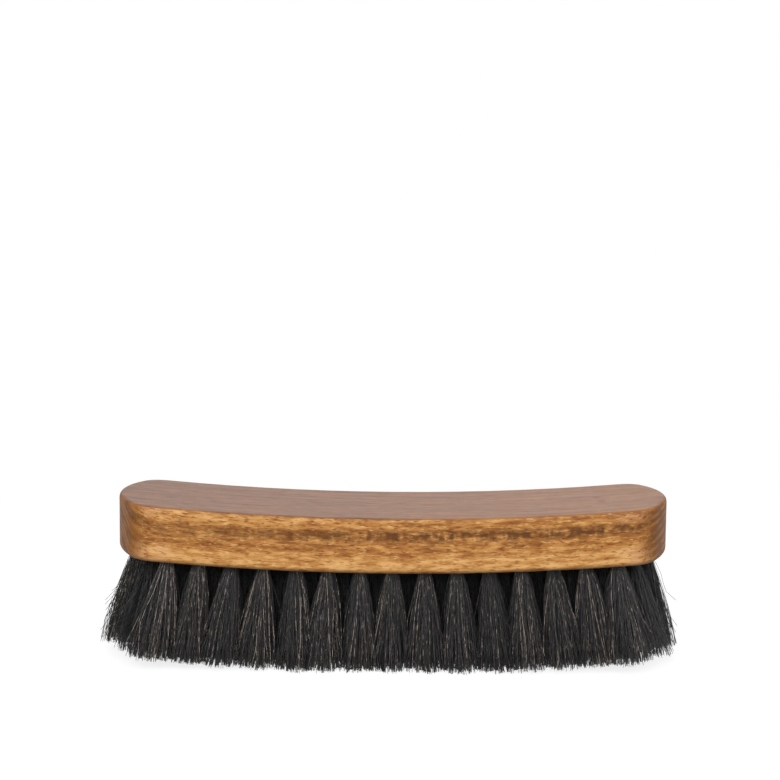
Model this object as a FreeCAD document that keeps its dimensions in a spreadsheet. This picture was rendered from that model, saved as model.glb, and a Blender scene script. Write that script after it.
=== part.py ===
"""Shoe shine brush: an arched beech block, drilled and filled with folded tufts of horsehair.

The brush stands on the middle of its trimmed bristle tips. The origin lies under the middle of the
block, on the surface that the tips rest on. +X runs along the block and +Z is up. Sizes are in mm
and angles in degrees.
"""
import FreeCAD, Part
import math
import os

import Sketcher
from FreeCAD import Vector

# The rows of tufts from front to rear. Rows are staggered, so each holds one tuft fewer than the row
# beside it that is nearer to the middle. The two rows that the others hide are each one sub-part.
ROWS = ("front", "front_inner", "middle", "rear_inner", "rear")
GROUPED_ROWS = ("front_inner", "rear_inner")
MIDDLE_ROW_TUFTS = 17
STEPS_TO_END_TUFT = (MIDDLE_ROW_TUFTS - 1) / 2
STEPS_TO_OUTER_ROW = (len(ROWS) - 1) / 2

# Driving dimensions
SIZES = {
    # the block
    "block_length": 180,  # over its rounded ends
    "block_width": 51,
    "block_height": 18,  # between its two arched faces
    "arch_radius": 890,  # of the hollow top; the underside and the bristle tips share its centre
    "end_radius": 44,  # of the rounded ends, seen from above
    "corner_radius": 9,  # between an end and a straight side, seen from above
    "top_edge_radius": 1.5,  # rounding of the upper edge
    "lower_edge_radius": 1.7,  # rounding of the lower edge
    # the drilled holes
    "end_margin": 7,  # from the end of the block to the first hole of the middle row
    "side_margin": 7,  # from the side of the block to the holes of the outer rows
    "hole_diameter": 5,
    "hole_depth": 9,  # along the hole's own axis
    "fan_lean": 9,  # of the end tufts, towards the ends of the block
    "row_lean": 4,  # of the outer rows, towards the sides of the block
    # the tufts
    "bristle_length": 32,  # from the middle of the underside to the surface that the tips rest on
    "tuft_fit": 0.05,  # room between a tuft's root and its hole, on the radius
    "tuft_neck": 1,  # below the mouth, where a tuft keeps the size of its root
    "tuft_gap": 0.4,  # between neighbouring tufts at their tips
    "trim_allowance": 3,  # how far the hair stands past the trimmed tips before it is cut
    "flat_depth": 0.5,  # how deep the curve of the tips is cut flat where the brush rests
    # the wire anchors that hold the folded hair
    "anchor_thickness": 0.5,
    "anchor_height": 1.8,  # along the hole
    "anchor_bite": 0.4,  # of each end of the wire into the wood
    "fold_thickness": 1.2,  # hair between the wire and the bottom of the hole
}

# Sizes that follow from the driving ones, each written with names that stand above it
LAST_STEP = (STEPS_TO_END_TUFT - 1) / STEPS_TO_END_TUFT
LAST_ROW_STEP = (STEPS_TO_OUTER_ROW - 1) / STEPS_TO_OUTER_ROW
FORMULAS = {
    "block_top": "bristle_length + block_height",
    "arch_centre": "block_top + arch_radius",
    "under_radius": "arch_radius + block_height",
    "trim_radius": "arch_centre + flat_depth",
    "end_rise": "arch_radius - sqrt(arch_radius ^ 2 - (block_length / 2) ^ 2)",
    "stock_height": "block_top + end_rise + block_height",
    "stock_radius": "trim_radius + end_rise + block_height",
    "tuft_pitch": f"(block_length - 2 * end_margin) / {MIDDLE_ROW_TUFTS - 1}",
    "row_pitch": f"(block_width - 2 * side_margin) / {len(ROWS) - 1}",
    # the least spacing of the tips, along a row and from row to row, sets how far a tuft may spread
    "tip_pitch": f"tuft_pitch + bristle_length * (sin(fan_lean) - sin({LAST_STEP} * fan_lean))",
    "tip_row_pitch": f"row_pitch + bristle_length * (sin(row_lean) - sin({LAST_ROW_STEP} * row_lean))",
    "tip_spacing": "min(tip_pitch; sqrt((tip_pitch / 2) ^ 2 + tip_row_pitch ^ 2))",
    "tip_radius": "(tip_spacing - tuft_gap) / 2",
    "root_radius": "hole_diameter / 2 - tuft_fit",
    "tuft_reach": "bristle_length + trim_allowance",
    "anchor_length": "hole_diameter + 2 * anchor_bite",
    "anchor_level": "hole_depth - fold_thickness - anchor_height",
}

document = FreeCAD.newDocument("shoe_shine_brush")
sheet = document.addObject("Spreadsheet::Sheet", "sizes")
cells = {name: str(value) for name, value in SIZES.items()}
cells.update({name: f"={formula}" for name, formula in FORMULAS.items()})
for row_number, (name, content) in enumerate(cells.items(), start=1):
    sheet.set(f"A{row_number}", name)
    sheet.set(f"B{row_number}", content)
    sheet.setAlias(f"B{row_number}", name)
document.recompute()


def size(name):
    """The present value of a named size, for laying out a sketch before its constraints hold it."""
    return float(sheet.get(name))


def new_sketch(body, name, plane_role):
    """An empty sketch on one of the body's own origin planes."""
    plane = next(item for item in body.Origin.OriginFeatures if item.Role == plane_role)
    sketch = body.newObject("Sketcher::SketchObject", name)
    sketch.AttachmentSupport = [(plane, "")]
    sketch.MapMode = "FlatFace"
    return sketch


def drive(sketch, constraint, expression):
    """Add a dimension to a sketch and bind it to the sheet."""
    index = sketch.addConstraint(constraint)
    sketch.setExpression(f"Constraints[{index}]", expression)


def sketch_arc(centre, radius, start_angle, end_angle):
    """An anticlockwise arc for a sketch."""
    return Part.ArcOfCircle(Part.Circle(centre, Vector(0, 0, 1), radius), start_angle, end_angle)


def volume_of(feature):
    """The volume of a feature after a recompute, to tell that a cut has cut."""
    document.recompute()
    return feature.Shape.Volume


def pocket_through(body, name, sketch, width_expression):
    """Cut a sketch through the body, equally to both sides of its plane."""
    before = volume_of(body)
    pocket = body.newObject("PartDesign::Pocket", name)
    pocket.Profile = sketch
    pocket.SideType = "Symmetric"
    pocket.setExpression("Length", width_expression)
    if volume_of(pocket) >= before:
        raise RuntimeError(f"{name} cuts nothing")
    return pocket


# The block's plan: two straight sides, two rounded ends and four rounder corners between them
X_AXIS, Y_AXIS = range(-1, -3, -1)
START, END, CENTRE = range(1, 4)
ORIGIN = (X_AXIS, START)
block_stock = document.addObject("PartDesign::Body", "block_stock")
plan = new_sketch(block_stock, "block_plan", "XY_Plane")
end_centre = Vector(size("block_length") / 2 - size("end_radius"), 0, 0)
corner_y = size("block_width") / 2 - size("corner_radius")
corner_reach = size("end_radius") - size("corner_radius")
end_angle = math.asin(corner_y / corner_reach)
corner_x = end_centre.x + corner_reach * math.cos(end_angle)
quarter = math.pi / 2
RIGHT_END, UPPER_RIGHT, FAR_SIDE, UPPER_LEFT, LEFT_END, LOWER_LEFT, NEAR_SIDE, LOWER_RIGHT = range(8)
corner_radius = size("corner_radius")
half_width = size("block_width") / 2
plan.addGeometry([
    sketch_arc(end_centre, size("end_radius"), -end_angle, end_angle),
    sketch_arc(Vector(corner_x, corner_y, 0), corner_radius, end_angle, quarter),
    Part.LineSegment(Vector(corner_x, half_width, 0), Vector(-corner_x, half_width, 0)),
    sketch_arc(Vector(-corner_x, corner_y, 0), corner_radius, quarter, 2 * quarter - end_angle),
    sketch_arc(-end_centre, size("end_radius"), 2 * quarter - end_angle, 2 * quarter + end_angle),
    sketch_arc(Vector(-corner_x, -corner_y, 0), corner_radius, 2 * quarter + end_angle, 3 * quarter),
    Part.LineSegment(Vector(-corner_x, -half_width, 0), Vector(corner_x, -half_width, 0)),
    sketch_arc(Vector(corner_x, -corner_y, 0), corner_radius, 3 * quarter, 4 * quarter - end_angle),
], False)
for stretch in range(plan.GeometryCount):
    following = (stretch + 1) % plan.GeometryCount
    plan.addConstraint(Sketcher.Constraint("Tangent", stretch, END, following, START))
plan.addConstraint(Sketcher.Constraint("Horizontal", FAR_SIDE))
plan.addConstraint(Sketcher.Constraint("Horizontal", NEAR_SIDE))
plan.addConstraint(Sketcher.Constraint("PointOnObject", RIGHT_END, CENTRE, X_AXIS))
plan.addConstraint(Sketcher.Constraint("Symmetric", RIGHT_END, CENTRE, LEFT_END, CENTRE, *ORIGIN))
plan.addConstraint(Sketcher.Constraint("Equal", RIGHT_END, LEFT_END))
for corner in (UPPER_LEFT, LOWER_LEFT, LOWER_RIGHT):
    plan.addConstraint(Sketcher.Constraint("Equal", UPPER_RIGHT, corner))
drive(plan, Sketcher.Constraint("DistanceX", *ORIGIN, RIGHT_END, CENTRE, end_centre.x),
      "sizes.block_length / 2 - sizes.end_radius")
drive(plan, Sketcher.Constraint("Radius", RIGHT_END, size("end_radius")), "sizes.end_radius")
drive(plan, Sketcher.Constraint("Radius", UPPER_RIGHT, corner_radius), "sizes.corner_radius")
drive(plan, Sketcher.Constraint("DistanceY", *ORIGIN, FAR_SIDE, START, half_width),
      "sizes.block_width / 2")
drive(plan, Sketcher.Constraint("DistanceY", NEAR_SIDE, START, *ORIGIN, half_width),
      "sizes.block_width / 2")
stock = block_stock.newObject("PartDesign::Pad", "block_pad")
stock.Profile = plan
stock.setExpression("Length", "sizes.stock_height")


def arch_sketch(name, radius_names):
    """Circles about the arch's centre, on the upright plane along the block."""
    sketch = new_sketch(block_stock, name, "XZ_Plane")
    centre = Vector(0, size("arch_centre"), 0)
    for circle, radius_name in enumerate(radius_names):
        sketch.addGeometry(Part.Circle(centre, Vector(0, 0, 1), size(radius_name)), False)
        sketch.addConstraint(Sketcher.Constraint("PointOnObject", circle, CENTRE, Y_AXIS))
        drive(sketch, Sketcher.Constraint("DistanceY", *ORIGIN, circle, CENTRE, size("arch_centre")),
              "sizes.arch_centre")
        drive(sketch, Sketcher.Constraint("Radius", circle, size(radius_name)), f"sizes.{radius_name}")
    return sketch


# The two arched faces: the hollow top is a circle cut away, the underside a ring cut away
hollow_top = pocket_through(block_stock, "hollow_top", arch_sketch("top_arch", ["arch_radius"]),
                            "sizes.block_width * 2")
underside = pocket_through(block_stock, "underside",
                           arch_sketch("under_arch", ["under_radius", "stock_radius"]),
                           "sizes.block_width * 2")


def edges_of_arch(shape, radius):
    """Names of the edges round the arched face that has this radius."""
    face = next(face for face in shape.Faces
                if isinstance(face.Surface, Part.Cylinder) and math.isclose(face.Surface.Radius, radius))
    return [f"Edge{number}" for number, edge in enumerate(shape.Edges, start=1)
            if any(edge.isSame(own_edge) for own_edge in face.Edges)]


def round_edges(name, base, radius_name, edge_radius_name):
    """Round the whole outline of one arched face."""
    document.recompute()
    fillet = block_stock.newObject("PartDesign::Fillet", name)
    fillet.Base = (base, edges_of_arch(base.Shape, size(radius_name)))
    fillet.setExpression("Radius", f"sizes.{edge_radius_name}")
    document.recompute()
    return fillet


top_edge = round_edges("top_edge", underside, "arch_radius", "top_edge_radius")
lower_edge = round_edges("lower_edge", top_edge, "under_radius", "lower_edge_radius")

# One untrimmed tuft, with its mouth at its own origin and its root pointing up into the wood
tuft_blank = document.addObject("PartDesign::Body", "tuft_blank")
outline = new_sketch(tuft_blank, "tuft_outline", "XZ_Plane")
root_radius = size("root_radius")
tip_radius = size("tip_radius")
mouth_to_tip = size("tuft_reach") - size("tuft_neck")
spread = tip_radius - root_radius
flare_radius = (mouth_to_tip ** 2 + spread ** 2) / (2 * spread)
flare_centre = Vector(tip_radius - flare_radius, -size("tuft_reach"), 0)
root_top = Vector(0, size("hole_depth"), 0)
root_corner = Vector(root_radius, size("hole_depth"), 0)
neck_end = Vector(root_radius, -size("tuft_neck"), 0)
tip_corner = Vector(tip_radius, -size("tuft_reach"), 0)
tip_middle = Vector(0, -size("tuft_reach"), 0)
ROOT_END, ROOT_SIDE, FLARE, TIP, AXIS = range(5)
outline.addGeometry([
    Part.LineSegment(root_top, root_corner),
    Part.LineSegment(root_corner, neck_end),
    sketch_arc(flare_centre, flare_radius, 0, math.asin(mouth_to_tip / flare_radius)),
    Part.LineSegment(tip_corner, tip_middle),
    Part.LineSegment(tip_middle, root_top),
], False)
outline.addConstraint(Sketcher.Constraint("Coincident", ROOT_END, END, ROOT_SIDE, START))
outline.addConstraint(Sketcher.Constraint("Coincident", ROOT_SIDE, END, FLARE, END))
outline.addConstraint(Sketcher.Constraint("Coincident", FLARE, START, TIP, START))
outline.addConstraint(Sketcher.Constraint("Coincident", TIP, END, AXIS, START))
outline.addConstraint(Sketcher.Constraint("Coincident", AXIS, END, ROOT_END, START))
outline.addConstraint(Sketcher.Constraint("Horizontal", ROOT_END))
outline.addConstraint(Sketcher.Constraint("Vertical", ROOT_SIDE))
outline.addConstraint(Sketcher.Constraint("Horizontal", TIP))
outline.addConstraint(Sketcher.Constraint("PointOnObject", AXIS, START, Y_AXIS))
outline.addConstraint(Sketcher.Constraint("PointOnObject", AXIS, END, Y_AXIS))
outline.addConstraint(Sketcher.Constraint("Horizontal", FLARE, CENTRE, FLARE, START))
drive(outline, Sketcher.Constraint("DistanceX", *ORIGIN, ROOT_SIDE, START, root_radius),
      "sizes.root_radius")
drive(outline, Sketcher.Constraint("DistanceY", *ORIGIN, ROOT_SIDE, START, root_corner.y),
      "sizes.hole_depth")
drive(outline, Sketcher.Constraint("DistanceY", ROOT_SIDE, END, *ORIGIN, -neck_end.y), "sizes.tuft_neck")
drive(outline, Sketcher.Constraint("DistanceX", *ORIGIN, FLARE, START, tip_radius), "sizes.tip_radius")
drive(outline, Sketcher.Constraint("DistanceY", FLARE, START, *ORIGIN, -tip_corner.y), "sizes.tuft_reach")
hair_bundle = tuft_blank.newObject("PartDesign::Revolution", "hair_bundle")
hair_bundle.Profile = outline
hair_bundle.ReferenceAxis = (outline, ["V_Axis"])
hair_bundle.Angle = 360

# The slot that the wire presses into the fold of the hair
fold = new_sketch(tuft_blank, "fold_slot", "XZ_Plane")
half_wire = size("anchor_thickness") / 2
wire_low = size("anchor_level")
wire_high = wire_low + size("anchor_height")
slot_corners = [Vector(-half_wire, wire_low, 0), Vector(half_wire, wire_low, 0),
                Vector(half_wire, wire_high, 0), Vector(-half_wire, wire_high, 0)]
SLOT_LOW, SLOT_RIGHT, SLOT_HIGH, SLOT_LEFT = range(4)
for start_corner, end_corner in zip(slot_corners, slot_corners[1:] + slot_corners[:1]):
    fold.addGeometry(Part.LineSegment(start_corner, end_corner), False)
for side in range(fold.GeometryCount):
    following = (side + 1) % fold.GeometryCount
    fold.addConstraint(Sketcher.Constraint("Coincident", side, END, following, START))
fold.addConstraint(Sketcher.Constraint("Horizontal", SLOT_HIGH))
fold.addConstraint(Sketcher.Constraint("Vertical", SLOT_LEFT))
fold.addConstraint(Sketcher.Constraint("Vertical", SLOT_RIGHT))
fold.addConstraint(Sketcher.Constraint("Symmetric", SLOT_LOW, START, SLOT_LOW, END, Y_AXIS))
drive(fold, Sketcher.Constraint("DistanceX", SLOT_LOW, START, SLOT_LOW, END, 2 * half_wire),
      "sizes.anchor_thickness")
drive(fold, Sketcher.Constraint("DistanceY", *ORIGIN, SLOT_LOW, START, wire_low), "sizes.anchor_level")
drive(fold, Sketcher.Constraint("DistanceY", SLOT_RIGHT, START, SLOT_RIGHT, END, size("anchor_height")),
      "sizes.anchor_height")
pocket_through(tuft_blank, "wire_slot", fold, "sizes.hole_diameter * 2")

# The drill, which starts clear of the wood, and one length of flat wire, both about a mouth at the origin
drill = document.addObject("Part::Cylinder", "drill")
drill.setExpression("Radius", "sizes.hole_diameter / 2")
drill.setExpression("Height", "sizes.hole_depth + sizes.hole_diameter")
drill.setExpression("Placement", "placement(vector(0; 0; -sizes.hole_diameter); rotation(0; 0; 0))")
wire = document.addObject("Part::Box", "wire")
wire.setExpression("Length", "sizes.anchor_thickness")
wire.setExpression("Width", "sizes.anchor_length")
wire.setExpression("Height", "sizes.anchor_height")
wire.setExpression("Placement", "placement(vector(-sizes.anchor_thickness / 2; -sizes.anchor_length / 2; "
                                "sizes.anchor_level); rotation(0; 0; 0))")

# The space that the trimmed bristles fill: above the curve of the cut and above the resting surface
trim_curve = document.addObject("Part::Cylinder", "trim_curve")
trim_curve.setExpression("Radius", "sizes.trim_radius")
trim_curve.setExpression("Height", "sizes.block_width + 2 * sizes.bristle_length")
trim_curve.setExpression("Placement", "placement(vector(0; sizes.block_width / 2 + sizes.bristle_length; "
                                      "sizes.arch_centre); rotation(0; 0; 90))")
above_rest = document.addObject("Part::Box", "above_rest")
above_rest.setExpression("Length", "sizes.block_length + 2 * sizes.bristle_length")
above_rest.setExpression("Width", "sizes.block_width + 2 * sizes.bristle_length")
above_rest.setExpression("Height", "sizes.block_top + sizes.end_rise")
above_rest.setExpression("Placement", "placement(vector(-sizes.block_length / 2 - sizes.bristle_length; "
                                      "-sizes.block_width / 2 - sizes.bristle_length; 0); "
                                      "rotation(0; 0; 0))")
trimmed_space = document.addObject("Part::Common", "trimmed_space")
trimmed_space.Base = trim_curve
trimmed_space.Tool = above_rest


def seat(steps_along, rows_back):
    """Where a tuft sits: its mouth on the arched underside, leaning out to the ends and the sides."""
    along = f"{steps_along} * sizes.tuft_pitch"
    back = f"{rows_back} * sizes.row_pitch"
    up = f"sizes.arch_centre - sqrt(sizes.under_radius ^ 2 - ({along}) ^ 2)"
    pitch = f"{-steps_along / STEPS_TO_END_TUFT} * sizes.fan_lean"
    roll = f"{rows_back / STEPS_TO_OUTER_ROW} * sizes.row_lean"
    return f"placement(vector({along}; {back}; {up}); rotation(0; {pitch}; {roll}))"


def seated_copy(master, name, placement):
    """A copy of a master shape that stands at one tuft's seat."""
    copy = document.addObject("App::Link", name)
    copy.LinkedObject = master
    copy.LinkTransform = True
    copy.setExpression("Placement", placement)
    return copy


def group(name, members):
    """Several separate solids kept as one sub-part."""
    joined = document.addObject("Part::Compound", name)
    joined.Links = members
    return joined


# Fill the block row by row: a drilled hole, a wire and a trimmed tuft at each seat
sub_parts = []
drills = []
wires = []
for row_number, row in enumerate(ROWS):
    rows_back = row_number - STEPS_TO_OUTER_ROW
    tuft_count = MIDDLE_ROW_TUFTS - round(abs(rows_back))
    row_tufts = []
    row_wires = []
    for number in range(tuft_count):
        place = seat(number - (tuft_count - 1) / 2, rows_back)
        tag = f"{row}_{number + 1:02d}"
        drills.append(seated_copy(drill, f"drill_{tag}", place))
        row_wires.append(seated_copy(wire, f"anchor_{tag}", place))
        tuft = document.addObject("Part::Common", f"tuft_{tag}")
        tuft.Base = seated_copy(tuft_blank, f"untrimmed_{tag}", place)
        tuft.Tool = trimmed_space
        row_tufts.append(tuft)
    if row in GROUPED_ROWS:
        sub_parts.append(group(f"tufts_{row}", row_tufts))
    else:
        sub_parts.extend(row_tufts)
    sub_parts.append(group(f"anchors_{row}", row_wires))
    wires.extend(row_wires)

# The finished block: the rounded stock less every hole and the bites of the wires
block = document.addObject("Part::Cut", "block")
block.Base = block_stock
block.Tool = group("drilled_away", drills + wires)
sub_parts.append(block)
document.recompute()

failed = [item.Label for item in document.Objects if {"Invalid", "Error"} & set(item.State)]
if failed:
    raise RuntimeError(f"these objects failed: {failed}")
for sub_part in sub_parts:
    if sub_part.Shape.isNull() or not sub_part.Shape.isValid() or not sub_part.Shape.Solids:
        raise RuntimeError(f"{sub_part.Label} has no sound shape")

os.makedirs("parts", exist_ok=True)
for sub_part in sub_parts:
    sub_part.Shape.exportStep(f"parts/{sub_part.Label}.step")
    print(sub_part.Label, len(sub_part.Shape.Solids), "solids,", round(sub_part.Shape.Volume, 1), "mm3")
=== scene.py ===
"""Looks of a shoe shine brush: a stained beech block filled with tufts of dark horsehair.

The brush stands on its bristle tips, with +X along the block and +Z up. Sizes are in metres, and those of
the wood grain are in millimetres.
"""
import itertools
import math
import random

import bpy
from mathutils import Matrix, Vector


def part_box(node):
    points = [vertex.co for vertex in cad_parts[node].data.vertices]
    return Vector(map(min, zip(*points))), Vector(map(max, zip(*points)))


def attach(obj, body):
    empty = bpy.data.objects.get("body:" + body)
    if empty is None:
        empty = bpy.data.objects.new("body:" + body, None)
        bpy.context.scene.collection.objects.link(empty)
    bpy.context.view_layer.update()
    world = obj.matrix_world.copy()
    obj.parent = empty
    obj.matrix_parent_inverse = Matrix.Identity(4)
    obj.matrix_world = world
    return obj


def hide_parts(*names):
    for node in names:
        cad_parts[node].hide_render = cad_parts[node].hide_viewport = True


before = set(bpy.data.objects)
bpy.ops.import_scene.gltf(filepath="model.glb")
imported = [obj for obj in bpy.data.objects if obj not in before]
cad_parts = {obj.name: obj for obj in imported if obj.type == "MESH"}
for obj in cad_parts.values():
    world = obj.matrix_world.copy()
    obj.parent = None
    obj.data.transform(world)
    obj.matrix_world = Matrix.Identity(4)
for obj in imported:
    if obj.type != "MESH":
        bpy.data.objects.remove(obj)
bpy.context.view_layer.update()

# The block
# One piece of beech, sawn to a gentle arch, sanded round at its ends, stained amber brown and
# lacquered. The grain follows the arch, and a dark layer of heartwood runs along both long sides.
BLOCK_HEIGHT = 0.018
ARCH_RADIUS = 0.890
MILLIMETRES = 1000
FULL_TURN = 2 * math.pi
block_low, block_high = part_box("block")
arch_centre = block_low.z + BLOCK_HEIGHT + ARCH_RADIUS


def paint(red, green, blue):
    """A colour given in screen values from 0 to 255, made linear by the standard screen curve."""
    def linear(value):
        share = value / 255
        return share / 12.92 if share <= 0.04045 else ((share + 0.055) / 1.055) ** 2.4
    return (linear(red), linear(green), linear(blue), 1.0)


class Graph:
    """Adds nodes to a node tree. Each input is a plain value or the output of another node."""

    def __init__(self, tree):
        self.tree = tree

    def node(self, kind, inputs=(), **settings):
        node = self.tree.nodes.new(kind)
        for name, value in settings.items():
            setattr(node, name, value)
        for key, value in dict(inputs).items():
            if isinstance(value, bpy.types.NodeSocket):
                self.tree.links.new(value, node.inputs[key])
            else:
                node.inputs[key].default_value = value
        return node

    def maths(self, operation, *values):
        return self.node("ShaderNodeMath", enumerate(values), operation=operation).outputs[0]

    def add(self, first, second):
        return self.maths("ADD", first, second)

    def minus(self, first, second):
        return self.maths("SUBTRACT", first, second)

    def times(self, first, second):
        return self.maths("MULTIPLY", first, second)

    def over(self, first, second):
        return self.maths("DIVIDE", first, second)

    def squared(self, value):
        return self.maths("POWER", value, 2.0)

    def distance(self, first, second):
        """How far off a point is that lies this far along each of two square directions."""
        return self.maths("SQRT", self.add(self.squared(first), self.squared(second)))

    def swing(self, value, width):
        """A value from 0 to 1, turned into one that swings this widely about 0."""
        return self.times(self.minus(value, 0.5), width)

    def vectors(self, operation, *values):
        return self.node("ShaderNodeVectorMath", enumerate(values), operation=operation).outputs[0]

    def scaled(self, vector, factor):
        return self.node("ShaderNodeVectorMath", {0: vector, "Scale": factor}, operation="SCALE").outputs[0]

    def vector_of(self, x, y, z=0.0):
        return self.node("ShaderNodeCombineXYZ", enumerate((x, y, z))).outputs[0]

    def parts_of(self, vector):
        return self.node("ShaderNodeSeparateXYZ", {0: vector}).outputs

    def step(self, value, start, end):
        """0 before start, 1 past end and smooth between them."""
        limits = {"Value": value, "From Min": start, "From Max": end}
        return self.node("ShaderNodeMapRange", limits, interpolation_type="SMOOTHSTEP").outputs[0]

    def mix(self, factor, first, second):
        """A mixed colour. The colour sockets follow those for numbers and vectors."""
        return self.node("ShaderNodeMix", {0: factor, 6: first, 7: second}, data_type="RGBA").outputs[2]

    def noise(self, place, cell, detail=2.0, turn=0):
        """Smooth noise from 0 to 1 with features about as large as the cell; each turn is another noise."""
        inputs = {
            "Vector": self.vectors("DIVIDE", place, cell),
            "W": turn,
            "Scale": 1.0,
            "Detail": detail,
            "Roughness": 0.55,
        }
        return self.node("ShaderNodeTexNoise", inputs, noise_dimensions="4D").outputs[0]

    def ramp(self, value, stops):
        """A colour that passes through the stops, each a position and a colour."""
        node = self.node("ShaderNodeValToRGB", {"Fac": value})
        elements = node.color_ramp.elements
        while len(elements) < len(stops):
            elements.new(1.0)
        for element, (position, colour) in zip(elements, stops):
            element.position = position
            element.color = colour
        return node.outputs["Color"]


def new_material(name):
    """An empty material, its graph and its surface socket."""
    material = bpy.data.materials.new(name)
    material.use_nodes = True
    material.node_tree.nodes.clear()
    graph = Graph(material.node_tree)
    output = graph.node("ShaderNodeOutputMaterial")
    return material, graph, output.inputs["Surface"]


def dress(graph, surface, finish):
    """Give a material its surface, by the values of its shader."""
    shader = graph.node("ShaderNodeBsdfPrincipled", finish)
    graph.tree.links.new(shader.outputs[0], surface)


def coat(node_name, material):
    """Give a CAD node this material in place of its plain one."""
    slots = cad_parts[node_name].data.materials
    slots.clear()
    slots.append(material)


beech, wood, beech_surface = new_material("stained_beech")
wood_spot = wood.parts_of(wood.node("ShaderNodeTexCoord").outputs["Object"])
from_centre = wood.distance(wood.minus(arch_centre, wood_spot[2]), wood_spot[0])
depth = wood.times(wood.minus(from_centre, ARCH_RADIUS), MILLIMETRES)
along = wood.times(wood_spot[0], MILLIMETRES)
across = wood.times(wood_spot[1], MILLIMETRES)
from_middle = wood.maths("ABSOLUTE", along)
level_spot = wood.vector_of(along, across, depth)


def tinted(colour, mask, strength, tint):
    """The colour, with this much of a tint where the mask is 1."""
    return wood.mix(wood.times(mask, strength), colour, tint)


# the growth layers follow the arch and rise to the rear at both ends, more steeply at the left one
LEFT_SLOPE = 0.75
LEFT_SLOPE_PART = (-55.0, -80.0)
RIGHT_SLOPE = 0.18
RIGHT_SLOPE_PART = (60.0, 80.0)
half_width = block_high.y * MILLIMETRES
slope = wood.add(wood.times(wood.step(along, *LEFT_SLOPE_PART), LEFT_SLOPE),
                 wood.times(wood.step(along, *RIGHT_SLOPE_PART), RIGHT_SLOPE))
growth = wood.add(depth, wood.times(slope, wood.add(across, half_width)))
grain = wood.vector_of(along, across, growth)

# the long grain is patchy: paler low down and, on the left, near the top, with a faint dark band between
LAYER_CELL = (70.0, 6.0, 2.6)
LAYER_CONTRAST = 0.5
PATCH_CELL = (7.0, 2.5, 1.4)
PATCH_CONTRAST = 2.0
LEFT_PART = (10.0, -50.0)
HIGH_BAND_EDGE = (4.5, 2.0)
HIGH_BAND_PALENESS = 0.2
FAINT_BAND_TOP = (7.5, 9.5)
FAINT_BAND_FOOT = (13.0, 11.0)
FAINT_BAND_DARKNESS = 0.14
LOW_BAND_EDGE = (9.5, 15.0)
LOW_BAND_PALENESS = 0.28
TONE_SHIFT = 0.86
GOLDEN_STOPS = (
    (0.1, paint(136, 84, 38)),
    (0.35, paint(170, 112, 55)),
    (0.55, paint(195, 138, 75)),
    (0.85, paint(222, 170, 106)),
)
layers = wood.noise(grain, LAYER_CELL, detail=2.0, turn=1)
patches = wood.noise(grain, PATCH_CELL, detail=4.0, turn=2)
tone = wood.add(wood.times(layers, LAYER_CONTRAST), wood.times(patches, PATCH_CONTRAST))
on_the_left = wood.step(along, *LEFT_PART)
high_band = wood.times(wood.step(depth, *HIGH_BAND_EDGE), HIGH_BAND_PALENESS)
faint_band = wood.times(wood.step(depth, *FAINT_BAND_TOP), wood.step(depth, *FAINT_BAND_FOOT))
left_bands = wood.minus(high_band, wood.times(faint_band, FAINT_BAND_DARKNESS))
low_band = wood.step(depth, *LOW_BAND_EDGE)
bands = wood.add(wood.times(left_bands, on_the_left), wood.times(low_band, LOW_BAND_PALENESS))
tone = wood.minus(wood.add(tone, bands), TONE_SHIFT)
colour = wood.ramp(tone, GOLDEN_STOPS)

# short flecks lie along the grain, and the dark ones are fainter low down
DARK_FLECK_CELL = (2.4, 0.5, 0.5)
DARK_FLECK_EDGE = (0.48, 0.34)
DARK_FLECK_STRENGTH = 0.8
DARK_FLECK_FADING = 0.25
DARK_FLECK_COLOUR = paint(124, 60, 16)
PALE_FLECK_CELL = (2.6, 0.5, 0.55)
PALE_FLECK_EDGE = (0.55, 0.72)
PALE_FLECK_STRENGTH = 0.6
PALE_FLECK_COLOUR = paint(234, 196, 132)
dark_flecks = wood.step(wood.noise(grain, DARK_FLECK_CELL, detail=1.5, turn=3), *DARK_FLECK_EDGE)
dark_strength = wood.minus(DARK_FLECK_STRENGTH, wood.times(low_band, DARK_FLECK_FADING))
colour = tinted(colour, dark_flecks, dark_strength, DARK_FLECK_COLOUR)
pale_flecks = wood.step(wood.noise(grain, PALE_FLECK_CELL, detail=1.5, turn=4), *PALE_FLECK_EDGE)
colour = tinted(colour, pale_flecks, PALE_FLECK_STRENGTH, PALE_FLECK_COLOUR)

# the dark layer a third of the way down, smeared and broken, and fainter towards the left
STREAK_DEPTH = 5.9
STREAK_FALL = 0.008
STREAK_WANDER = 2.0
WANDER_CELL = (30.0, 30.0, 60.0)
STREAK_EDGE = (2.8, 0.6)
SMEAR_CELL = (3.2, 3.0, 1.5)
SMEAR_SHARE = 0.65
BREAK_CELL = (2.0, 8.0, 6.0)
BREAK_SHARE = 0.35
BLOTCH_EDGE = (0.36, 0.58)
STREAK_LEAST = 0.62
STREAK_GAIN = 0.3
STREAK_GAIN_PART = (-55.0, 0.0)
STREAK_COLOUR = paint(88, 50, 20)
END_PART = (76.0, 85.0)
ends = wood.step(from_middle, *END_PART)
wander = wood.swing(wood.noise(grain, WANDER_CELL, detail=1.0, turn=5), STREAK_WANDER)
streak_level = wood.minus(STREAK_DEPTH, wood.times(along, STREAK_FALL))
from_streak = wood.minus(wood.minus(growth, streak_level), wander)
streak = wood.step(wood.maths("ABSOLUTE", from_streak), *STREAK_EDGE)
smears = wood.times(wood.noise(grain, SMEAR_CELL, detail=5.0, turn=6), SMEAR_SHARE)
breaks = wood.times(wood.noise(grain, BREAK_CELL, detail=3.0, turn=7), BREAK_SHARE)
blotches = wood.step(wood.add(smears, breaks), *BLOTCH_EDGE)
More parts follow.
